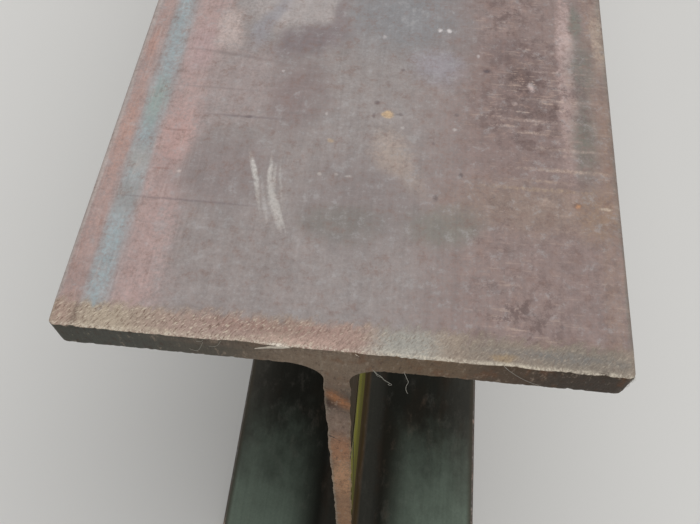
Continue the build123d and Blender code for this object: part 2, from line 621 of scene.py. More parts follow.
@dataclass(frozen=True)
class WeatheredScale:
    """Hot-rolled mill scale that has stood outdoors: a hard iron oxide skin under a first bloom of rust.

    Rolling leaves faint streaks along the beam and coloured stripes beside its edges, and the bloom
    makes the grey scale mauve and brown. It reads as dull, dry and faintly mottled.

    Attributes:
        name: What the face is.
        marks: Marks near the near cut, in groups.
        base: The colour of the scale.
        ground: The colour of the steel that a grinder has laid bare at the cuts.
    """

    name: str
    marks: tuple[list[Mark], ...]
    base: str = "#958b88"
    ground: str = "#a59383"

    def material(self) -> Material:
        """Paints the scale, its marks and the ground band at each end.

        Returns:
            The material.
        """
        paint = Painter(self.name, self.base)
        self._weather(paint)
        for group in self.marks:
            paint.lay(group)
        self._bloom(paint)
        mottle = paint.noise(6.0, detail=7.0, roughness=0.74, shift=40.0)
        streaks = paint.noise(0.8, (1.0, 30.0, 1.0), shift=11.0)
        ripples = paint.noise(0.8, (14.0, 1.0, 1.0), shift=71.0)
        paint.speckle([(paint.grit, 0.5), (mottle, 0.6), (streaks, 0.22), (ripples, 0.14)])
        paint.emboss([(paint.grit, 1.0), (streaks, 0.6)], 0.06 * MM)
        self._dress(paint)
        dull = paint.add("Math", {0: mottle, 1: 0.3, 2: 0.42}, operation="MULTIPLY_ADD")
        return paint.finish(dull, specular=0.4)

    def _weather(self, paint: Painter) -> None:
        """Lays the large clouds of bloom and bare scale that run along the whole beam."""
        bare = paint.noise(55.0, (1.0, 3.5, 1.0), detail=4.0, roughness=0.6)
        paint.tint(paint.where(bare, 0.5, 0.72, 0.6), "#8b8989")
        brown = paint.noise(70.0, (1.0, 5.0, 1.0), detail=4.0, shift=90.0)
        paint.tint(paint.where(brown, 0.52, 0.75, 0.7), "#8c7570")

    def _bloom(self, paint: Painter) -> None:
        """Lays the fine rust: a brown bloom everywhere, thicker and patchier towards the right edge."""
        bloom = paint.noise(3.2, detail=7.0, roughness=0.78, shift=7.0)
        paint.tint(paint.where(bloom, 0.5, 0.66, 0.45), "#806459")
        paint.tint(paint.where(bloom, 0.48, 0.34, 0.4), "#adaaaa")
        lines = paint.noise(0.6, (1.0, 14.0, 1.0), detail=3.0, roughness=0.65, shift=81.0)
        left = paint.where(paint.across, -34.0, -44.0, within=paint.where(bloom, 0.4, 0.55))
        paint.tint(paint.where(lines, 0.54, 0.7, 0.3, within=left), "#8d7b76")
        paint.tint(paint.where(lines, 0.46, 0.3, 0.3, within=left), "#c2b3ad")
        cloud = paint.where(paint.noise(24.0, (1.0, 2.2, 1.0), detail=3.0, shift=19.0), 0.46, 0.62)
        clouded = paint.add("Math", {0: cloud, 1: 0.7, 2: 0.3}, operation="MULTIPLY_ADD")
        thick = paint.add("Math", {0: clouded, 1: paint.cover(RUST_THICK)}, operation="MAXIMUM")
        right = paint.where(paint.across, 20.0, 40.0, within=thick)
        patches = paint.noise(3.4, detail=7.0, roughness=0.78, shift=27.0)
        paint.tint(paint.where(patches, 0.49, 0.6, 0.75, within=right), "#5a4440")
        paint.tint(paint.where(patches, 0.46, 0.36, 0.6, within=right), "#ab9186")
        runs = paint.noise(0.7, (9.0, 1.0, 1.0), detail=3.0, roughness=0.6, shift=33.0)
        scraped = paint.where(patches, 0.57, 0.46, within=right)
        paint.tint(paint.where(runs, 0.57, 0.67, 0.6, within=scraped), "#c6ae9f")

    def _dress(self, paint: Painter) -> None:
        """Lays the band at each cut that a grinder has dressed, with its slanting scratches and painted
        highlights: glints on the scratches and along the rim.
        """
        from_cut = paint.from_cut()
        ragged = paint.noise(2.0, (1.0, 2.0, 1.0), turn=-27, detail=5.0, roughness=0.7, shift=5.0)
        band = paint.where(from_cut, 3.6, 0.4, ragged=(ragged, -9.0))
        under = paint.colour
        paint.start(self.ground)
        paint.lay(DRESSED_MARKS)
        hatch = paint.noise(0.32, (1.0, 5.0, 1.0), turn=-30, detail=3.0, roughness=0.65, shift=3.0)
        crossed = paint.noise(0.34, (1.0, 4.0, 1.0), turn=-52, detail=3.0, roughness=0.65, shift=23.0)
        grains = paint.noise(0.5, detail=3.0, roughness=0.7, shift=37.0)
        paint.speckle([(hatch, 0.5), (crossed, 0.4), (grains, 0.7), (paint.grit, 0.4)])
        left = paint.where(paint.across, 30.0, -30.0, 0.7)
        deep = paint.add("Math", {0: left, 1: 0.3}, operation="ADD")
        paint.tint(paint.where(hatch, 0.46, 0.34, 0.8, within=deep), "#735a4c")
        # Painted highlight: pale glints on the slanting scratches.
        paint.tint(paint.where(crossed, 0.55, 0.68, 0.8, within=deep), "#d6c9b4")
        # Painted highlight: pale glints along the rim of the cut.
        rim = paint.where(from_cut, 1.6, 0.6)
        paint.tint(paint.where(grains, 0.5, 0.6, 0.85, within=rim), "#d2c8b6")
        paint.merge(under, band)
        paint.emboss([(hatch, 1.0), (crossed, 1.0), (grains, 1.0)], 0.12 * MM, within=band)


@dataclass(frozen=True)
class ShelteredScale:
    """Mill scale between the flanges, out of the rain: grey oxide on the flanges, browner on the web.

    It reads darker and smoother than the outer faces, with long soft streaks from rolling. Near the near end
    it is darker still with painted shade, most of all near the web, and the bottom flange there is lighter
    with painted light close to the cut.

    Attributes:
        scale: The oxide's colour on the flanges, left darker near the near end as painted shade.
        worn: The paler oxide in wide clouds on the flanges.
        tint_past_painted_shade: The browner, lighter tint that the flanges take away from the near end, where
            the painted shade ends.
        web: The web's colour.
        root: The colour of the fillets between them, a little darker as painted shade in the corner.
        painted_shade_and_grime: Painted shade on the flanges at the near end, darkest near the web.
        web_painted_shade: Painted shade on the web there.
        painted_light: The painted light on the bottom flange close to the cut.
    """

    scale: str = "#4b4a45"
    worn: str = "#605d56"
    tint_past_painted_shade: str = "#7d7069"
    web: str = "#7a6d66"
    root: str = "#45443e"
    painted_shade_and_grime: str = "#1c1d18"
    web_painted_shade: str = "#4b3d25"
    painted_light: str = "#778578"

    def material(self) -> Material:
        """Paints the bays.

        Returns:
            The material.
        """
        paint = Painter("mill_scale_sheltered", self.scale)
        far_out = paint.add("Math", {0: paint.across}, operation="ABSOLUTE")
        wide = paint.noise(40.0, (1.0, 4.0, 1.0), detail=5.0, roughness=0.62)
        on_web = paint.where(far_out, 6.6, 4.6, ragged=(wide, 2.0))
        paint.tint(paint.where(wide, 0.46, 0.62, 0.8), self.worn)
        stains = paint.noise(22.0, (1.0, 3.0, 1.0), detail=6.0, roughness=0.66, shift=31.0)
        paint.tint(paint.where(stains, 0.52, 0.66, 0.6), "#594537")
        # Painted shade: the fillets between web and flanges are darkened a little.
        paint.tint(paint.where(far_out, 14.0, 9.0, 0.8), self.root)
        # Painted shade: the flanges keep the dark scale colour over the near end's first 160 to 420 mm, and
        # are made lighter and browner past it.
        away = paint.where(paint.along, 160.0, 420.0, ragged=(wide, 180.0))
        paint.shade(paint.add("Math", {0: away, 1: 0.5, 2: 1.0}, operation="MULTIPLY_ADD"))
        paint.tint(paint.keep(away, 0.5), self.tint_past_painted_shade)
        self._rust_web(paint, on_web, wide)
        self._paint_near_end_shade_and_light(paint, far_out, on_web)
        paint.tint(paint.where(far_out, 58.5, 61.0, 0.8), "#4b463c")
        fine = paint.noise(1.1, detail=4.0, roughness=0.65)
        streaks = paint.noise(1.6, (1.0, 40.0, 1.0), detail=3.0, shift=11.0)
        paint.speckle([(fine, 0.4), (streaks, 0.3)])
        paint.emboss([(fine, 1.0), (streaks, 1.0)], 0.06 * MM)
        dull = paint.add("Math", {0: fine, 1: 0.2, 2: 0.6}, operation="MULTIPLY_ADD")
        return paint.finish(dull, specular=0.06)

    def _rust_web(self, paint: Painter, on_web: Socket, wide: Socket) -> None:
        """Lays the web's brown, with scale that has stayed, thin rust and a fine bloom.

        Args:
            paint: The painter.
            on_web: Where the web is, from 0 to 1.
            wide: Wide noise that the clouds follow.
        """
        flanges = paint.colour
        paint.start(self.web)
        rusty = paint.noise(17.0, (1.0, 2.4, 1.0), detail=7.0, roughness=0.7, shift=64.0)
        kept = paint.noise(30.0, (1.0, 3.2, 1.0), detail=6.0, roughness=0.66, shift=14.0)
        bloom = paint.noise(3.4, (1.0, 1.5, 1.0), detail=6.0, roughness=0.76, shift=7.0)
        paint.tint(paint.where(wide, 0.45, 0.65, 0.7), "#8a7f79")
        paint.tint(paint.where(rusty, 0.52, 0.68, 0.6), "#795441")
        paint.tint(paint.where(kept, 0.53, 0.64, 0.7), "#5a5857")
        paint.tint(paint.where(bloom, 0.5, 0.66, 0.4), "#886a5a")
        paint.tint(paint.where(bloom, 0.46, 0.34, 0.4), "#5f5955")
        paint.merge(flanges, on_web)

    def _paint_near_end_shade_and_light(self, paint: Painter, far_out: Socket, on_web: Socket) -> None:
        """Lays the painted shade at the near end, darkest near the web, and the painted light on the bottom
        flange close to the cut.

        Args:
            paint: The painter.
            far_out: The distance from the web's middle plane.
            on_web: Where the web is, from 0 to 1.
        """
        thin = paint.noise(7.0, (1.0, 1.8, 1.0), detail=6.0, roughness=0.72, shift=84.0)
        gaps = paint.where(thin, 0.5, 0.7, 0.5)
        solid = paint.add("Math", {0: 1.0, 1: gaps}, operation="SUBTRACT")
        patchy = paint.noise(26.0, (1.0, 1.6, 1.0), detail=5.0, roughness=0.62, shift=44.0)
        # Painted shade over the near end, fading out from 160 to 400 mm and broken by noise; on the flanges
        # it is darkest near the web.
        painted_shade_near_end = paint.where(paint.along, 400.0, 160.0, 0.9, ragged=(patchy, 180.0), within=solid)
        past_root = paint.where(far_out, 10.0, 16.0, 0.5)
        beside_root = paint.add("Math", {0: past_root, 1: 0.5}, operation="ADD")
        paint.tint(paint.keep(painted_shade_near_end, paint.where(far_out, 80.0, 36.0, within=beside_root)), self.painted_shade_and_grime)
        paint.tint(paint.keep(painted_shade_near_end, on_web), self.web_painted_shade)
        # Painted light: the bottom flange is lighter close to the cut, fading out from 30 to 110 mm, away
        # from the root.
        ragged_light_edge = paint.noise(11.0, (1.0, 1.6, 1.0), detail=5.0, roughness=0.62, shift=54.0)
        low_down = paint.where(paint.up, 40.0, 20.0, within=paint.where(far_out, 14.0, 34.0))
        painted_light_near_cut = paint.where(paint.along, 110.0, 30.0, 0.85, ragged=(ragged_light_edge, 60.0), within=low_down)
        paint.tint(painted_light_near_cut, self.painted_light)


SAWN_MARKS = [
    *with_grain(
        Grain.STAIN,
        Mark(-58, 245, 14, 18, "#55584f", 0.8),
        Mark(-42, 245, 30, 18, "#5e6059", 0.9),
        Mark(-25, 245, 26, 16, "#6f695d", 0.8),
        Mark(-22, 248, 30, 3, "#87786a", 0.7, broken=0.3),
        Mark(-3, 242, 30, 18, "#a8937e", 0.9),
        Mark(20, 245, 24, 18, "#947c62", 0.8),
        # Painted shade: this mark and the next darken the right part of the sawn flange end.
        Mark(38, 245, 16, 18, "#6b5745", 0.8),
        Mark(54, 245, 22, 18, "#4c4137", 0.9),
        Mark(0, 232, 9, 12, "#9d8672", 0.8),
        Mark(0.4, 219.5, 4.2, 12, "#c98552", 0.85, turn=24, soft=0.8),
    ),
    Mark(1.0, 219, 1.8, 8, "#d99a6c", 0.7, turn=30, soft=0.9, broken=0.3, grain=Grain.SCRATCH),
    # Painted shadow: a dark brown patch on the web's end, left of and below the rust.
    Mark(-2.0, 216.5, 3.6, 9, "#462a18", 0.95, turn=26, soft=0.8, grain=Grain.SCRATCH),
    *with_grain(
        Grain.STAIN,
        Mark(0, 199, 9, 26, "#ad9280", 0.9),
        Mark(0, 176, 9, 28, "#cc9570", 0.9),
        Mark(0.6, 142, 8, 46, "#e8b48a", 0.95),
        Mark(0.6, 80, 8, 100, "#c6956d", 0.8),
    ),
    *with_grain(
        Grain.SCRATCH,
        Mark(-3.2, 120, 1.0, 190, "#c4b8a4", 0.8, soft=0.9, broken=0.4),
        Mark(3.1, 128, 0.8, 120, "#a99a6e", 0.7, soft=0.9, broken=0.3),
        Mark(-2.1, 189.4, 0.7, 3.6, "#3f332c", 0.9, turn=38),
    ),
]


@dataclass(frozen=True)
class SawnSteel:
    """The saw-cut end: bare steel that has browned, with fine saw lines and rust along the web.

    Attributes:
        base: The colour of the browned cut.
    """

    base: str = "#74675a"

    def material(self) -> Material:
        """Paints the two cut ends.

        Returns:
            The material.
        """
        paint = Painter("saw_cut_steel", self.base, "xzy")
        paint.lay(SAWN_MARKS)
        rust = paint.noise(4.0, (1.0, 1.8, 1.0), detail=6.0, roughness=0.7, shift=17.0)
        browner = paint.where(paint.across, -34.0, -6.0)
        paint.tint(paint.where(rust, 0.52, 0.66, 0.5, within=browner), "#8a5f40")
        pitted = paint.noise(1.6, (1.0, 2.4, 1.0), detail=5.0, roughness=0.72, shift=29.0)
        paint.tint(paint.where(pitted, 0.56, 0.66, 0.5), "#5b4233")
        paint.tint(paint.where(pitted, 0.45, 0.34, 0.5), "#c8b39f")
        fine = paint.noise(0.7, detail=5.0, roughness=0.75, shift=8.0)
        saw_lines = paint.noise(0.4, (1.0, 9.0, 1.0), turn=-4, shift=2.0)
        paint.speckle([(fine, 0.7), (saw_lines, 0.45)])
        paint.emboss([(fine, 1.0), (saw_lines, 1.0)], 0.12 * MM)
        return paint.finish(0.66, specular=0.25)


@dataclass(frozen=True)
class GrittyFinish:
    """One colour with fine grit, for something small.

    Attributes:
        name: What the material is.
        colour: Its sRGB colour, as hex.
        variety: How much the grit changes its lightness.
        grit_height: How high the grit stands, in millimetres.
        roughness: How dull it is.
        specular: The level of its mirror part.
    """

    name: str
    colour: str
    variety: float
    grit_height: float
    roughness: float
    specular: float

    def material(self) -> Material:
        """Paints the colour and its grit.

        Returns:
            The material.
        """
        paint = Painter(self.name, self.colour)
        paint.speckle([(paint.grit, self.variety)])
        paint.emboss([(paint.grit, 1.0)], self.grit_height * MM)
        return paint.finish(self.roughness, self.specular)


# Slivers of steel that the grinder has pushed over the edge: thin, pale and a little browned.
BURR_STEEL = GrittyFinish("ground_burr_steel", "#f6ead8", 0.8, 0.03, 0.5, 0.5)

# Loose cotton fibre that the rough edge has caught. It reads as dusty grey-white thread.
COTTON_LINT = GrittyFinish("cotton_lint", "#cfccc0", 0.6, 0.01, 0.9, 0.2)


@dataclass(frozen=True)
class StickerPaper:
    """Bright yellow sticker paper with plain black bars. It reads as matt and a little grubby; its yellow is
    darkened somewhat as painted shade, its lower part more so, and a pale strip along its top edge is a
    painted highlight.

    Attributes:
        paper: The paper's colour, darker than its own bright yellow as painted shade.
        ink: The colour of its bars.
        bars: Bars up the web: start and end along the beam, and inset from the paper's edges, in millimetres.
        rungs: How many short bars lie across them.
        rung_span: Start and end of the short bars along the beam, in millimetres.
        rung_width: How wide a short bar is, in millimetres.
    """

    paper: str = "#9f9c2a"
    ink: str = "#24231c"
    bars: tuple[tuple[float, float, float], ...] = (
        (5.0, 10.0, 6.0),
        (13.0, 14.0, 6.0),
        (17.0, 18.0, 6.0),
        (53.0, 54.2, 14.0),
    )
    rungs: int = 12
    rung_span: tuple[float, float] = (24.0, 48.0)
    rung_width: float = 2.4

    def material(self, low: Vector, high: Vector) -> Material:
        """Paints the sticker.

        Args:
            low: The sticker's lowest corner.
            high: Its highest corner.

        Returns:
            The material.
        """
        paint = Painter("yellow_sticker_paper", self.paper, "yzx")
        bottom, top = low.z / MM, high.z / MM
        printed = [((start, end), (bottom + inset, top - inset)) for start, end, inset in self.bars]
        for i in range(self.rungs):
            middle = bottom + (i + 0.5) * (top - bottom) / self.rungs
            printed.append((self.rung_span, (middle - self.rung_width / 2, middle + self.rung_width / 2)))
        worn = paint.where(paint.noise(1.2, detail=4.0, roughness=0.7, shift=6.0), 0.34, 0.46, 0.9)
        for along, up in printed:
            paint.tint(paint.keep(paint.block(along, up, 0.3), worn), self.ink)
        painted_shade_and_grime = paint.noise(9.0, detail=5.0, roughness=0.65, shift=12.0)
        paint.tint(paint.where(painted_shade_and_grime, 0.5, 0.75, 0.5), "#77702f")
        # Painted shade: darker towards the bottom, fully from 50 mm below the top edge down.
        paint.tint(paint.where(paint.up, top, top - 50.0, 0.8, ragged=(painted_shade_and_grime, 20.0)), "#5a5520")
        # Painted highlight: a pale strip along the top edge.
        paint.tint(paint.where(paint.up, top - 5.0, top - 3.6, 0.9), "#dcd7a4")
        fine = paint.noise(1.5, detail=3.0)
        paint.speckle([(fine, 0.2)])
        paint.emboss([(fine, 1.0)], 0.02 * MM)
        return paint.finish(0.7, specular=0.15)


@dataclass(frozen=True)
class Dent:
    """A place where the near cut's top edge lies further back. Its sizes are in millimetres.

    Attributes:
        across: Place of its middle, from the web's middle plane.
        width: Its width, where it is about a third as deep as at its middle.
        depth: How deep it is at its middle.
    """

    across: float
    width: float
    depth: float

    def depth_at(self, across: float) -> float:
        """How deep the dent is at a place across the beam."""
        return self.depth * math.exp(-(((across - self.across) / (self.width / 2)) ** 2))


NEAR_DENTS = (
    Dent(36.5, 9.0, 0.35),
    Dent(-20.5, 8.0, 0.3),
    Dent(-57.0, 1.5, 0.35),
    Dent(56.0, 1.6, 0.3),
    Dent(12.0, 3.0, 0.15),
    Dent(47.0, 2.2, 0.2),
)


@dataclass(frozen=True)
class Sliver:
    """A curl of steel that hangs over the near cut from its top edge. Its sizes are in millimetres.

    Attributes:
        root: Where it leaves the edge: across the beam, and below the top.
        bend: The place that it curves towards.
        tip: Where it ends.
        width: Its width at the root.
    """

    root: tuple[float, float]
    bend: tuple[float, float]
    tip: tuple[float, float]
    width: float

    def point(self, share: float) -> Vector:
        """The place on its middle line at a share of its way, from 0 at the root to 1 at the tip."""
        root, bend, tip = (Vector(place) for place in (self.root, self.bend, self.tip))
        return root * (1 - share) ** 2 + bend * 2 * share * (1 - share) + tip * share**2


NEAR_SLIVERS = (
    Sliver((-9.2, 0.35), (-13.6, 0.6), (-17.3, 2.5), 1.0),
    Sliver((-10.4, 0.35), (-12.6, 0.5), (-14.6, 1.0), 0.6),
    Sliver((4.2, 0.6), (5.0, 1.1), (5.1, 1.7), 0.3),
)


# Layers of noise that leave a surface uneven, each as its strength and the length of its waves in
# millimetres.
SAW_WAVES = ((0.1, 22.0), (0.05, 4.0))
SLOPE_WAVES = ((0.12, 3.0), (0.08, 1.1))
BURR_WAVES = ((0.45, 8.0), (0.25, 2.6))


def waves(place: Vector, layers: Iterable[tuple[float, float]]) -> float:
    """The sum of some layers of noise at a place."""
    return sum(strength * noise.noise(place / length) for strength, length in layers)


def crumbs(place: Vector, size: float, shift: tuple[float, float, float], floor: float = 0.0) -> float:
    """Single lumps of noise, with nothing between them.

    Args:
        place: Where the noise is looked up.
        size: Size of a lump, in millimetres.
        shift: Moves the pattern, so that two patterns don't match.
        floor: How much is taken off, which leaves fewer lumps.

    Returns:
        How high a lump is here, or 0.
    """
    return max(0.0, noise.noise(place / size + Vector(shift)) - floor)


def fade(distance: float, reach: float) -> float:
    """How much is left of something at a distance: all of it at 0, and nothing from its reach on."""
    return max(0.0, 1 - distance / reach)


def cut(bm: BMesh, axis: int, places: Iterable[float]) -> None:
    """Cuts every face that planes cross.

    Args:
        bm: The mesh.
        axis: The axis that the planes stand across: 0 for X, 1 for Y and 2 for Z.
        places: Where each plane is on that axis.
    """
    normal = Vector([float(i == axis) for i in range(3)])
    for place in places:
        everything = bm.verts[:] + bm.edges[:] + bm.faces[:]
        bmesh.ops.bisect_plane(bm, geom=everything, dist=1e-6, plane_co=normal * place, plane_no=normal)


def round_off(
    bm: BMesh,
    chosen: list[BMVert] | list[BMEdge],
    radius: float,
    segments: int,
    affect: str = "VERTICES",
) -> None:
    """Rounds corners or edges of a mesh.

    Args:
        bm: The mesh.
        chosen: The vertices of a flat face, or the edges.
        radius: How far back the rounding starts, in metres.
        segments: How many steps it has.
        affect: VERTICES or EDGES.
    """
    bmesh.ops.bevel(
        bm,
        geom=chosen,
        offset=radius,
        offset_type="OFFSET",
        affect=affect,
        segments=segments,
        profile=0.5,
        material=-1,
    )


def thicken(bm: BMesh, faces: list[BMFace], offset: Vector) -> None:
    """Makes a closed solid of a sheet by drawing it out.

    Args:
        bm: The mesh.
        faces: The sheet's faces.
        offset: How far the sheet is drawn, in metres.
    """
    made = bmesh.ops.extrude_face_region(bm, geom=faces, use_keep_orig=True)
    drawn = [v for v in made["geom"] if isinstance(v, BMVert)]
    bmesh.ops.translate(bm, verts=drawn, vec=offset)
    solid = {f for v in drawn for f in v.link_faces} | set(faces)
    bmesh.ops.recalc_face_normals(bm, faces=list(solid))


def shade_smooth(bm: BMesh, sharp: float = 38.0) -> None:
    """Shades a mesh smooth, apart from its edges that turn by a sharp angle, in degrees, or more."""
    for face in bm.faces:
        face.smooth = True
    for edge in bm.edges:
        edge.smooth = len(edge.link_faces) == 2 and edge.calc_face_angle() < math.radians(sharp)


def add_object(name: str, data: ID) -> Object:
    """Adds an object with its data to the scene."""
    added = bpy.data.objects.new(name, data)
    bpy.context.scene.collection.objects.link(added)
    return added


def add_mesh(name: str, bm: BMesh, materials: Iterable[Material]) -> Object:
    """Adds an object that is made from a mesh.

    Args:
        name: The object's name.
        bm: Its mesh, which is freed.
        materials: Its materials, in the order of the mesh's material slots.

    Returns:
        The object.
    """
    mesh = bpy.data.meshes.new(name)
    bm.to_mesh(mesh)
    bm.free()
    for material in materials:
        mesh.materials.append(material)
    return add_object(name, mesh)


def add_piece(name: str, bm: BMesh, materials: Iterable[Material]) -> Object:
    """Makes a piece of the beam from a mesh, and says what it rides on and which finish it has.

    Args:
        name: The piece's name.
        bm: Its mesh, which is freed.
        materials: Its materials, in the order of the mesh's material slots.

    Returns:
        The piece's object.
    """
    piece = add_mesh(name, bm, materials)
    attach(piece, "root")
    LOG.info("%s: %d faces", name, len(piece.data.polygons))
    return piece


@dataclass
class RolledBeam:
    """The beam: its rolled section drawn out to the full length, with two worn sawn ends.

    Attributes:
        low: Lowest corner of the CAD beam.
        high: Highest corner of the CAD beam.
        web: Thickness of the web.
        flange: Thickness of a flange.
        root_radius: Radius between web and flange.
        outer_toe_radius: Radius of a flange's outer corners.
        inner_toe_radius: Radius of a flange's inner corners.
        corner_radius: Radius of the flange corners at the cuts, seen from above.
        dressed_run: Length of the ground slope at each cut.
        dressed_drop: Depth of the ground slope at the cut.
        column: Width of a cell of the grid across the flanges.
        row: Height of a cell of the grid up the web.
        middle_step: Length of a cell of the grid along the middle of the beam.
        near_steps: Distances from a cut at which the grid has a row, in millimetres.
        edge_rows: Distances below a flange's outer face at which it has a row, in millimetres.
        fine_reach: How far from a cut the grid's cells are divided once more.
        edge_radius: Size of the rounding round the sawn ends.
        saw_depth: How far the sawn face lies behind the ideal cut.
        slope_depth: How far below a flange's outer face the ground slope still reaches.
        chipped_rim: Width of the chipped rim along the edges of a flange's sawn face.
        chipped_run: How far from the cut the chips reach.
        lip_run: How far from the cut the grinder's lip reaches.
        lip_depth: How far below a flange's outer face it reaches.
        burr_run: How far from the cut the burr on the web's edges reaches.
        burr_end: Distance above or below a fillet over which that burr dies away.
        sliver_thickness: Thickness of a sliver.
    """

    low: Vector
    high: Vector
    web: float = 6 * MM
    flange: float = 9 * MM
    root_radius: float = 8 * MM
    outer_toe_radius: float = 1 * MM
    inner_toe_radius: float = 2.5 * MM
    corner_radius: float = 2 * MM
    dressed_run: float = 6 * MM
    dressed_drop: float = 0.3 * MM
    column: float = 1.25 * MM
    row: float = 3 * MM
    middle_step: float = 250 * MM
    near_steps: tuple[float, ...] = (0.35, 0.8, 1.3, 1.9, 2.7, 3.6, 4.8, 6.0, 9.0, 15.0, 30.0, 60.0, 120.0)
    edge_rows: tuple[float, ...] = (0.4, 1.0, 2.0, 3.2, 4.6, 6.2, 7.6, 8.6)
    fine_reach: float = 3.7 * MM
    edge_radius: float = 0.18 * MM
    saw_depth: float = 0.25 * MM
    slope_depth: float = 4 * MM
    chipped_rim: float = 1.3 * MM
    chipped_run: float = 2.4 * MM
    lip_run: float = 0.9 * MM
    lip_depth: float = 0.5 * MM
    burr_run: float = 1.7 * MM
    burr_end: float = 4 * MM
    sliver_thickness: float = 0.1 * MM

    def __post_init__(self) -> None:
        """Works out the sizes that follow from the CAD box."""
        self.half_width = (self.high.x - self.low.x) / 2
        self.depth = self.high.z - self.low.z
        self.middle = self.low.z + self.depth / 2

    def build(self) -> Object:
        """Builds the beam's mesh and dresses it.

        Returns:
            The beam's object.
        """
        bm = bmesh.new()
        self._section(bm)
        thicken(bm, bm.faces[:], Vector((0.0, self.high.y - self.low.y, 0.0)))
        self._grid(bm)
        self._refine(bm)
        ring = [e for e in bm.edges if sum(self.is_cut_face(f) for f in e.link_faces) == 1]
        round_off(bm, ring, self.edge_radius, segments=2, affect="EDGES")
        layout = FlatLayout(self)
        layout.lay(bm)
        for face in bm.faces:
            face.material_index = self._zone(face).value
        self._wear(bm)
        self._hang_slivers(bm)
        layout.lay_slivers(bm)
        shade_smooth(bm)
        top_marks = (EDGE_STRIPES, TOP_CLOUDS, TOP_RUNS, TOP_HAIRLINES, TOP_SCUFFS, TOP_SPECKS)
        finishes = (
            WeatheredScale("mill_scale_weathered_top", top_marks),
            WeatheredScale("mill_scale_weathered_bottom", (UNDERSIDE_STRIPES,), base="#857c77"),
            ShelteredScale(),
            SawnSteel(),
            BURR_STEEL,
        )
        materials = [finish.material() for finish in finishes]
        piece = add_piece("rolled_beam_finish", bm, materials)
        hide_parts("rolled_beam")
        return piece

    def _section(self, bm: BMesh) -> None:
        """Draws the section at the near cut, and rounds its roots and toes."""
        half, top = self.half_width, self.depth - self.flange
        heights = (0.0, self.flange, self.flange, top, top, self.depth)
        widths = (half, half, self.web / 2, self.web / 2, half, half)
        right = [(x, self.low.z + z) for x, z in zip(widths, heights)]
        left = [(-x, z) for x, z in reversed(right)]
        bm.faces.new([bm.verts.new((x, self.low.y, z)) for x, z in right + left])
        roots = [v for v in bm.verts if abs(v.co.x) < half / 2]
        round_off(bm, roots, self.root_radius, segments=8)
        outer_toes = [v for v in bm.verts if self._from_outside(v) < MM / 10]
        round_off(bm, outer_toes, self.outer_toe_radius, segments=4)
        tips = [v for v in bm.verts if abs(v.co.x) > half - MM / 10]
        inner_toes = [v for v in tips if self._from_outside(v) > self.flange / 2]
        round_off(bm, inner_toes, self.inner_toe_radius, segments=5)

    def _from_outside(self, vertex: BMVert) -> float:
        """How far a vertex is from the beam's top or bottom, whichever is nearer."""
        return self.depth / 2 - abs(vertex.co.z - self.middle)

    def _grid(self, bm: BMesh) -> None:
        """Cuts the solid into a grid: even columns and rows, and steps along it that widen from the cuts."""
        low, high = self.low, self.high
        columns = round(2 * self.half_width / self.column)
        cut(bm, 0, (low.x + i * self.column for i in range(1, columns)))
        rows = int((self.depth - 2 * self.flange) / self.row)
        cut(bm, 2, (low.z + self.flange + i * self.row for i in range(rows + 1)))
        cut(bm, 2, (z for row in self.edge_rows for z in (low.z + row * MM, high.z - row * MM)))
        cut(bm, 1, (y for step in self.near_steps for y in (low.y + step * MM, high.y - step * MM)))
        steps = int((high.y - low.y) / self.middle_step)
        cut(bm, 1, (low.y + i * self.middle_step for i in range(1, steps)))

    def _from_cut(self, vertex: BMVert) -> float:
        """How far a vertex is from the nearer cut."""
        return min(vertex.co.y - self.low.y, self.high.y - vertex.co.y)

    def _refine(self, bm: BMesh) -> None:
        """Divides the grid's cells in three near the cuts, across the flanges and up the web."""
        chosen = []
        for edge in bm.edges:
            if max(self._from_cut(v) for v in edge.verts) > self.fine_reach:
                continue
            across, along, up = (abs(step) for step in edge.verts[1].co - edge.verts[0].co)
            on_web = abs(edge.verts[0].co.x) < self.web
            if across > max(along, up, self.column / 2) or (on_web and up > max(along, across, self.row / 2)):
                chosen.append(edge)
        bmesh.ops.subdivide_edges(bm, edges=chosen, cuts=2, use_grid_fill=True)

    def is_cut_face(self, face: BMFace) -> bool:
        """Whether a face is part of a sawn end."""
        return abs(face.normal.y) > 0.9

    def _zone(self, face: BMFace) -> Zone:
        """The zone that a face is in."""
        centre = face.calc_center_median()
        if self.is_cut_face(face):
            return Zone.SAWN
        from_outside = self.depth / 2 - abs(centre.z - self.middle)
        tip = self.half_width - abs(centre.x)
        if from_outside > self.flange - self.inner_toe_radius and tip > self.inner_toe_radius / 2:
            return Zone.BAY
        return Zone.TOP if centre.z > self.middle else Zone.BOTTOM

    def _wear(self, bm: BMesh) -> None:
        """Rounds the flange corners, grinds the slope and leaves the cuts ragged."""
        for vertex in bm.verts:
            from_cut = self._from_cut(vertex)
            if from_cut > 2 * self.dressed_run:
                continue
            near = vertex.co.y < (self.low.y + self.high.y) / 2
            seed = 0.0 if near else FAR_SEED
            from_outside = self._from_outside(vertex)
            inward = self._set_back(vertex, from_cut, from_outside, seed)
            downward = self._ground_off(vertex, from_cut, from_outside, seed)
            vertex.co.x += self._web_burr(vertex, from_cut, from_outside, seed)
            vertex.co.y += inward if near else -inward
            vertex.co.z -= downward if vertex.co.z > self.middle else -downward

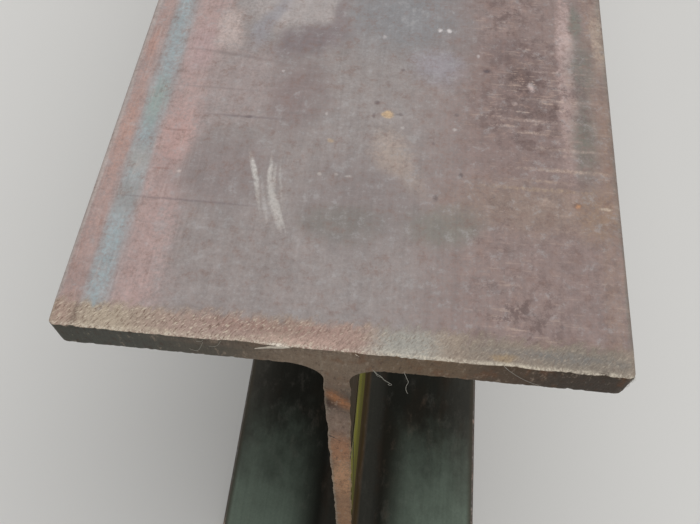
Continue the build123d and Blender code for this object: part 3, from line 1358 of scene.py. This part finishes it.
    def _set_back(self, vertex: BMVert, from_cut: float, from_outside: float, seed: float) -> float:
        """How far a vertex lies behind the ideal cut.

        Args:
            vertex: The vertex.
            from_cut: Its distance from the ideal cut.
            from_outside: Its distance from the beam's top or bottom.
            seed: Tells the two ends apart.

        Returns:
            The distance in metres.
        """
        share = fade(from_cut, 2 * self.dressed_run)
        corner = min(max(0.0, abs(vertex.co.x) - (self.half_width - self.corner_radius)), self.corner_radius)
        rounding = self.corner_radius - math.sqrt(self.corner_radius**2 - corner**2)
        place = Vector((vertex.co.x / MM, seed, vertex.co.z / MM))
        to_edge = min(from_outside, abs(from_outside - self.flange))
        at_edge = fade(to_edge, self.chipped_rim) * fade(from_cut, self.chipped_run)
        chips = 0.5 * crumbs(place, 1.6, (9.0, 3.0, 1.0), 0.2) + 0.25 * crumbs(place, 0.8, (2.0, 6.0, 4.0))
        if from_outside < self.flange / 2 and vertex.co.z > self.middle and not seed:
            chips += sum(dent.depth_at(vertex.co.x / MM) for dent in NEAR_DENTS)
        uneven = waves(place, SAW_WAVES) + chips * at_edge
        return (self.saw_depth + rounding + uneven * MM) * share

    def _ground_off(self, vertex: BMVert, from_cut: float, from_outside: float, seed: float) -> float:
        """How much of the outer face the grinder has taken off, less the lip that it left at the cut.

        Args:
            vertex: The vertex.
            from_cut: Its distance from the ideal cut.
            from_outside: Its distance from the beam's top or bottom.
            seed: Tells the two ends apart.

        Returns:
            The depth in metres.
        """
        place = Vector((vertex.co.x / MM, vertex.co.y / MM + seed, 0.0))
        slope = fade(from_cut, self.dressed_run) * fade(from_outside, self.slope_depth)
        rim = fade(from_cut, self.lip_run) * fade(from_outside, self.lip_depth)
        lip = (0.05 + 0.12 * crumbs(place, 0.9, (4.0, 1.0, 7.0))) * MM * rim
        return self.dressed_drop * slope * (1 + waves(place, SLOPE_WAVES)) - lip

    def _web_burr(self, vertex: BMVert, from_cut: float, from_outside: float, seed: float) -> float:
        """How far the burr on the web's sawn edges pushes a vertex out.

        Args:
            vertex: The vertex.
            from_cut: Its distance from the ideal cut.
            from_outside: Its distance from the beam's top or bottom.
            seed: Tells the two ends apart.

        Returns:
            The distance along X in metres.
        """
        side = vertex.co.x / (self.web / 2)
        on_edge = fade(abs(1 - abs(side)), 0.2) * fade(from_cut, self.burr_run)
        past_fillet = (from_outside - self.flange - self.root_radius) / self.burr_end
        on_web = min(1.0, max(0.0, past_fillet))
        height = 0.3 + waves(Vector((vertex.co.x / MM, seed, vertex.co.z / MM)), BURR_WAVES)
        return math.copysign(max(0.05, height) * MM * on_edge * on_web, side)

    def _hang_slivers(self, bm: BMesh) -> None:
        """Adds the slivers that hang over the near cut, each a thin closed curl."""
        beam_faces = set(bm.faces)
        for sliver in NEAR_SLIVERS:
            verts = bmesh.ops.create_grid(bm, x_segments=2, y_segments=18, size=1.0)["verts"]
            faces = list({face for vertex in verts for face in vertex.link_faces})
            for vertex in verts:
                side, share = vertex.co.x, (vertex.co.y + 1) / 2
                middle = sliver.point(share)
                ahead = (sliver.point(share + 0.01) - middle).normalized()
                taper = (1.03 - share) ** 0.8 * min(1.0, 0.2 + 2.6 * share)
                ragged = 1 + 0.7 * noise.noise(Vector((sliver.tip[0] + 7 * share, side, 0.0)))
                half_width = sliver.width / 2 * taper * ragged
                x, below = middle + Vector((-ahead.y, ahead.x)) * side * half_width
                below = max(below, self.dressed_drop / MM)
                behind = 0.13 + 0.09 * side + max(0.0, 0.2 - share)
                vertex.co = (x * MM, self.low.y + behind * MM, self.high.z - below * MM)
            thicken(bm, faces, Vector((0.0, self.sliver_thickness, 0.0)))
        for face in set(bm.faces) - beam_faces:
            face.material_index = Zone.BURR.value


@dataclass
class FlatLayout:
    """How the beam's surface lies in a square UV map, for a copy whose materials become pictures.

    Across the map goes the way round the section, in strips, and up it the way along the beam. Both are
    drawn larger where the beam is worn and is looked at closely. The two sawn faces stand beside the strips.

    Attributes:
        beam: The beam.
        name: The map's name.
        size: Side of the map, in the pixels that the sizes below are in.
        gap: Space between two strips or faces.
        outer_scale: Pixels for a millimetre round the top flange's outside.
        plain_scale: Pixels for a millimetre round the rest of the section.
        cut_scale: Pixels for a millimetre of a sawn face.
        sliver_scale: Pixels for a millimetre of a sliver.
        sliver_left: How far left of the web's middle the slivers' place starts, in millimetres.
        steps: Distances along the beam in millimetres, each with its place up the map.
    """

    beam: RolledBeam
    name: str = "OFBake"
    size: float = 1024.0
    gap: float = 4.0
    outer_scale: float = 2.4
    plain_scale: float = 0.56
    cut_scale: float = 1.5
    sliver_scale: float = 7.0
    sliver_left: float = 20.0
    steps: tuple[tuple[float, float], ...] = ((0, 4), (130, 324), (450, 484), (5850, 950), (6000, 1012))

    def __post_init__(self) -> None:
        """Works out where the strips start."""
        beam = self.beam
        self.rim = beam.half_width + beam.flange - beam.inner_toe_radius
        self.bay = beam.half_width - beam.web / 2 + beam.depth / 2 - beam.flange
        outer_mm, bay_mm = 2 * self.rim / MM, 2 * (self.bay + beam.inner_toe_radius) / MM
        self.right_bay = 2 * self.gap + outer_mm * self.outer_scale
        self.left_bay = self.right_bay + bay_mm * self.plain_scale + self.gap
        self.bottom = self.left_bay + bay_mm * self.plain_scale + self.gap
        self.beside = self.bottom + outer_mm * self.plain_scale + self.gap

    def lay(self, bm: BMesh) -> None:
        """Gives every face its place in the map, while the beam is still unworn."""
        layer = bm.loops.layers.uv.new(self.name)
        for face in bm.faces:
            centre = face.calc_center_median()
            is_cut = self.beam.is_cut_face(face)
            for loop in face.loops:
                place = self._on_cut(loop.vert.co, centre) if is_cut else self._on_strip(loop.vert.co, centre)
                loop[layer].uv = place / self.size

    def lay_slivers(self, bm: BMesh) -> None:
        """Gives the slivers their place, over the sawn faces."""
        layer = bm.loops.layers.uv[self.name]
        over_cuts = 3 * self.gap + 2 * self.beam.depth / MM * self.cut_scale
        corner = Vector((self.beside, over_cuts))
        for face in bm.faces:
            if face.material_index != Zone.BURR.value:
                continue
            for loop in face.loops:
                x, below = loop.vert.co.x / MM, (self.beam.high.z - loop.vert.co.z) / MM
                place = corner + Vector((x + self.sliver_left, below)) * self.sliver_scale
                loop[layer].uv = place / self.size

    def _on_cut(self, point: Vector, centre: Vector) -> Vector:
        """The place of a point on a sawn face."""
        low, high = self.beam.low, self.beam.high
        start = self.gap
        if centre.y > (low.y + high.y) / 2:
            start += self.gap + self.beam.depth / MM * self.cut_scale
        across, up = (point.x - low.x) / MM, (point.z - low.z) / MM
        return Vector((self.beside + across * self.cut_scale, start + up * self.cut_scale))

    def _on_strip(self, point: Vector, centre: Vector) -> Vector:
        """The place of a point on a rolled face.

        Args:
            point: The point.
            centre: The middle of its face, which says which strip it is in.

        Returns:
            The place in pixels.
        """
        beam = self.beam
        above = centre.z > beam.middle
        from_middle = abs(point.z - beam.middle)
        if beam.depth / 2 - abs(centre.z - beam.middle) < beam.flange - beam.inner_toe_radius:
            around = point.x + math.copysign(beam.depth / 2 - from_middle, point.x) + self.rim
            start, scale = (self.gap, self.outer_scale) if above else (self.bottom, self.plain_scale)
        else:
            inward = beam.half_width - abs(point.x) + beam.depth / 2 - beam.flange - from_middle
            around = beam.inner_toe_radius + (inward if point.z > beam.middle else 2 * self.bay - inward)
            start, scale = (self.right_bay if centre.x > 0 else self.left_bay), self.plain_scale
        return Vector((start + around / MM * scale, self._along((point.y - beam.low.y) / MM)))

    def _along(self, distance: float) -> float:
        """The place up the map of a distance along the beam."""
        for (start, low), (end, high) in zip(self.steps, self.steps[1:]):
            if distance <= end:
                return low + (high - low) * (distance - start) / (end - start)
        return self.steps[-1][1]


@dataclass(frozen=True)
class Thread:
    """A thread on the near cut. Its sizes are in millimetres.

    Attributes:
        width: How thick it is.
        points: Places that it curves past: across the beam, below the top, and behind the end of the beam.
    """

    width: float
    points: tuple[tuple[float, float, float], ...]


@dataclass
class EdgeLint:
    """Threads that the ragged edge has caught, hanging over the near cut.

    Attributes:
        low: Lowest corner of the CAD beam.
        high: Highest corner of the CAD beam.
        threads: The threads.
        fluff: Where a tuft hangs on the flange's corner, in the threads' measures.
        fluff_count: How many fibres the tuft has.
        fluff_seed: What their bends are drawn from, because the clock would set them otherwise.
        fibre: How thick a fibre is, in millimetres.
        fibre_steps: How many places each fibre curves past.
        rightmost: The furthest across that a fibre may come, so that it stays inside the beam's box.
        foremost: The nearest to the end of that box that it may come.
    """

    low: Vector
    high: Vector
    threads: tuple[Thread, ...] = (
        Thread(0.13, ((7.6, 7.8, 0.35), (8.3, 8.2, 0.2), (8.8, 10.2, 0.15),
                      (10.2, 11.4, 0.1), (10.8, 13.6, 0.1), (12.2, 15, 0.1))),
        Thread(0.11, ((12.2, 15, 0.1), (12.8, 15.8, 0.12), (12.3, 16.6, 0.2),
                      (11.7, 16.1, 0.2), (12.2, 15.2, 0.1))),
        Thread(0.1, ((8.1, 8.4, 0.3), (9.2, 10, 0.2), (8.9, 11.6, 0.2), (10.4, 12.4, 0.2))),
        Thread(0.12, ((14.9, 8.0, 0.35), (15.3, 9.2, 0.2), (15.7, 11, 0.12), (16.4, 13.4, 0.1),
                      (15.9, 15.4, 0.1), (16, 18.8, 0.1), (16.6, 20.4, 0.1))),
        Thread(0.08, ((35.2, 0.35, 0.7), (35.6, 0.3, 0.15), (38.3, 3.6, 0.1),
                      (41.7, 6.7, 0.1), (44.1, 7.9, 0.15))),
        Thread(0.08, ((-24.2, 0.5, 0.8), (-24.4, 0.4, 0.15), (-25.2, 2.4, 0.1),
                      (-26.2, 3.6, 0.1), (-27.4, 3.4, 0.1))),
        Thread(0.08, ((-28.4, 1.6, 0.1), (-29.6, 5.2, 0.1), (-30.8, 7.2, 0.1), (-32.2, 5.9, 0.1))),
        Thread(0.07, ((-28, 0.5, 0.8), (-28.1, 0.4, 0.15), (-28.8, 1.6, 0.1), (-29.8, 1.4, 0.1))),
    )
    fluff: tuple[float, float, float] = (61.6, 0.7, 1.0)
    fluff_count: int = 16
    fluff_seed: int = 1
    fibre: float = 0.07
    fibre_steps: int = 8
    rightmost: float = 62.4
    foremost: float = 0.06

    def build(self) -> Object:
        """Builds the threads as one piece.

        Returns:
            The piece's object.
        """
        bm = bmesh.new()
        for thread in self.threads:
            self._add(bm, thread)
        noise.seed_set(self.fluff_seed)
        for i in range(self.fluff_count):
            self._add(bm, Thread(self.fibre, tuple(self._curl(i))))
        shade_smooth(bm)
        return add_piece("edge_lint", bm, [COTTON_LINT.material()])

    def _curl(self, number: int) -> Iterable[tuple[float, float, float]]:
        """The places that one curly fibre of the tuft passes, inside the corner of the beam's box."""
        across, below, behind = self.fluff
        for step in range(self.fibre_steps):
            bend = noise.noise_vector(Vector((number * 3.7, step * 0.9, 0.0)))
            hanging = step * (0.9 + 0.5 * math.sin(number * 2.4))
            x = min(across + 0.5 + bend.x * 1.4 - 0.12 * step, self.rightmost)
            y = max(behind + bend.y * 0.9, self.foremost)
            yield x, max(below + 0.3, below + hanging + bend.z * 1.6), y

    def _add(self, bm: BMesh, thread: Thread) -> None:
        """Adds one thread to the mesh, as a closed tube along a smooth curve."""
        curve = bpy.data.curves.new("thread", "CURVE")
        curve.dimensions = "3D"
        curve.bevel_depth = thread.width / 2 * MM
        curve.bevel_resolution = 1
        curve.use_fill_caps = True
        curve.resolution_u = 5
        spline = curve.splines.new("NURBS")
        spline.points.add(len(thread.points) - 1)
        for point, (across, below, behind) in zip(spline.points, thread.points):
            point.co = (across * MM, self.low.y + behind * MM, self.high.z - below * MM, 1.0)
        spline.order_u = 3
        spline.use_endpoint_u = True
        holder = bpy.data.objects.new("thread", curve)
        mesh = bpy.data.meshes.new_from_object(holder)
        bm.from_mesh(mesh)
        bpy.data.meshes.remove(mesh)
        bpy.data.objects.remove(holder)
        bpy.data.curves.remove(curve)


@dataclass
class WebSticker:
    """The paper sticker on the web, whose edges have come up a little.

    Attributes:
        low: Lowest corner of the CAD sticker.
        high: Highest corner of the CAD sticker.
        corner_radius: Radius of its corners.
        cell: Size of a cell of its grid.
        lift: How far its edges have come off the web.
        top_run: How far down from the upper edge it has come off.
        near_run: How far from the near edge it has come off.
        near_share: Share of the lift that the near edge has.
    """

    low: Vector
    high: Vector
    corner_radius: float = 3 * MM
    cell: float = 2.5 * MM
    lift: float = 0.3 * MM
    top_run: float = 7 * MM
    near_run: float = 5 * MM
    near_share: float = 0.4

    def build(self) -> Object:
        """Builds the sticker's mesh and dresses it.

        Returns:
            The sticker's object.
        """
        bm = bmesh.new()
        low, high = self.low, self.high
        corners = [(low.y, low.z), (high.y, low.z), (high.y, high.z), (low.y, high.z)]
        bm.faces.new([bm.verts.new((low.x, y, z)) for y, z in corners])
        round_off(bm, bm.verts[:], self.corner_radius, segments=6)
        for axis in (1, 2):
            cells = round((high[axis] - low[axis]) / self.cell)
            cut(bm, axis, (low[axis] + i * self.cell for i in range(1, cells)))
        thicken(bm, bm.faces[:], Vector((high.x - low.x, 0.0, 0.0)))
        for vertex in bm.verts:
            vertex.co.x += self._curl(vertex.co)
        shade_smooth(bm)
        paper = StickerPaper().material(self.low, self.high)
        piece = add_piece("web_label_finish", bm, [paper])
        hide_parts("web_label")
        return piece

    def _curl(self, point: Vector) -> float:
        """How far the sticker has come off the web at a point."""
        top = fade(self.high.z - point.z, self.top_run) ** 2
        near = fade(point.y - self.low.y, self.near_run) ** 2 * self.near_share
        uneven = 0.7 + 0.5 * noise.noise(point / (12 * MM))
        return self.lift * max(top, near) * uneven


def turned(degrees: float, axis: str) -> Matrix:
    """A turn round one axis."""
    return Matrix.Rotation(math.radians(degrees), 4, axis)


@dataclass
class Studio:
    """The floor, the light and the camera.

    Attributes:
        floor_size: Side of the floor.
        floor_colour: The floor's sRGB colour.
        floor_shade: The sRGB colour that it has for the light that it sends back up.
        sky_colour: The background's sRGB colour.
        sun_tilt: Degrees that the lamp is turned from straight down, about X and then about Y.
        sun_spread: Degrees that the lamp spans in the sky.
        sun_level: How much of a plain colour's level the lamp gives a face that it looks at.
        sky_level: How much of it the sky gives.
        camera_from_cut: How far the camera is in front of the near cut.
        camera_above_top: How far it is above the top flange.
        camera_aside: How far it is to the right of the web's middle plane.
        heading: Degrees that it looks to the left of straight along the beam.
        tilt: Degrees that it looks down.
        roll: Degrees that it is rolled.
        lens: Its focal length in millimetres on a 36 mm sensor.
    """

    floor_size: float = 60.0
    floor_colour: str = "#dcdbd8"
    floor_shade: str = "#a8a7a5"
    sky_colour: str = "#e6e8ea"
    sun_tilt: tuple[float, float] = (-22.0, 10.0)
    sun_spread: float = 70.0
    sun_level: float = 0.66
    sky_level: float = 0.3
    camera_from_cut: float = 60.56 * MM
    camera_above_top: float = 141.96 * MM
    camera_aside: float = 10.0 * MM
    heading: float = 6.28
    tilt: float = 59.65
    roll: float = -0.4
    lens: float = 37.71

    def build(self) -> None:
        """Makes the floor, the light and the camera."""
        self._floor()
        self._light()
        self._camera()

    def _floor(self) -> None:
        """A plain pale floor under the beam."""
        bm = bmesh.new()
        bmesh.ops.create_grid(bm, x_segments=1, y_segments=1, size=self.floor_size / 2)
        material = bpy.data.materials.new("pale_floor")
        material.use_nodes = True
        tree = material.node_tree
        ray = add_node(tree, "LightPath").outputs
        seen = add_node(tree, "Math", {0: ray["Is Camera Ray"], 1: ray["Is Glossy Ray"]}, operation="MAXIMUM")
        colours = {0: seen.outputs[0], 6: linear(self.floor_shade), 7: linear(self.floor_colour)}
        shown = add_node(tree, "Mix", colours, data_type="RGBA").outputs[2]
        feed(tree.nodes["Principled BSDF"], {"Base Color": shown, "Roughness": 0.9})
        floor = add_mesh("floor", bm, [material])

    def _light(self) -> None:
        """A broad soft lamp overhead and an even sky."""
        lamp = bpy.data.lights.new("soft_lamp", "SUN")
        lamp.energy = self.sun_level * math.pi
        lamp.angle = math.radians(self.sun_spread)
        holder = add_object("soft_lamp", lamp)
        holder.matrix_world = turned(self.sun_tilt[0], "X") @ turned(self.sun_tilt[1], "Y")
        world = bpy.data.worlds.new("studio")
        world.use_nodes = True
        tree = world.node_tree
        tree.nodes.clear()
        even = add_node(tree, "Background", {"Color": linear("#ffffff"), "Strength": self.sky_level})
        seen = add_node(tree, "Background", {"Color": linear(self.sky_colour), "Strength": 1.0})
        ray = add_node(tree, "LightPath").outputs["Is Camera Ray"]
        mixed = add_node(tree, "MixShader", {0: ray, 1: even.outputs[0], 2: seen.outputs[0]})
        add_node(tree, "OutputWorld", {"Surface": mixed.outputs[0]})
        bpy.context.scene.world = world

    def _camera(self) -> None:
        """The camera, over the near end and looking down at it."""
        data = bpy.data.cameras.new("camera")
        data.lens = self.lens
        data.sensor_width = 36.0
        data.clip_start = 10 * MM
        camera = add_object("camera", data)
        low, high = CAD_BOX
        place = Vector((self.camera_aside, low.y - self.camera_from_cut, high.z + self.camera_above_top))
        look = turned(self.heading, "Z") @ turned(90 - self.tilt, "X") @ turned(self.roll, "Z")
        camera.matrix_world = Matrix.Translation(place) @ look
        bpy.context.scene.camera = camera


def main() -> None:
    """Builds the scene."""
    logging.basicConfig(level=logging.INFO, format="%(message)s")
    bpy.context.scene.view_settings.view_transform = "Standard"
    Studio().build()
    RolledBeam(*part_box("rolled_beam")).build()
    WebSticker(*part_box("web_label")).build()
    EdgeLint(*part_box("rolled_beam")).build()


if __name__ == "__main__":
    main()
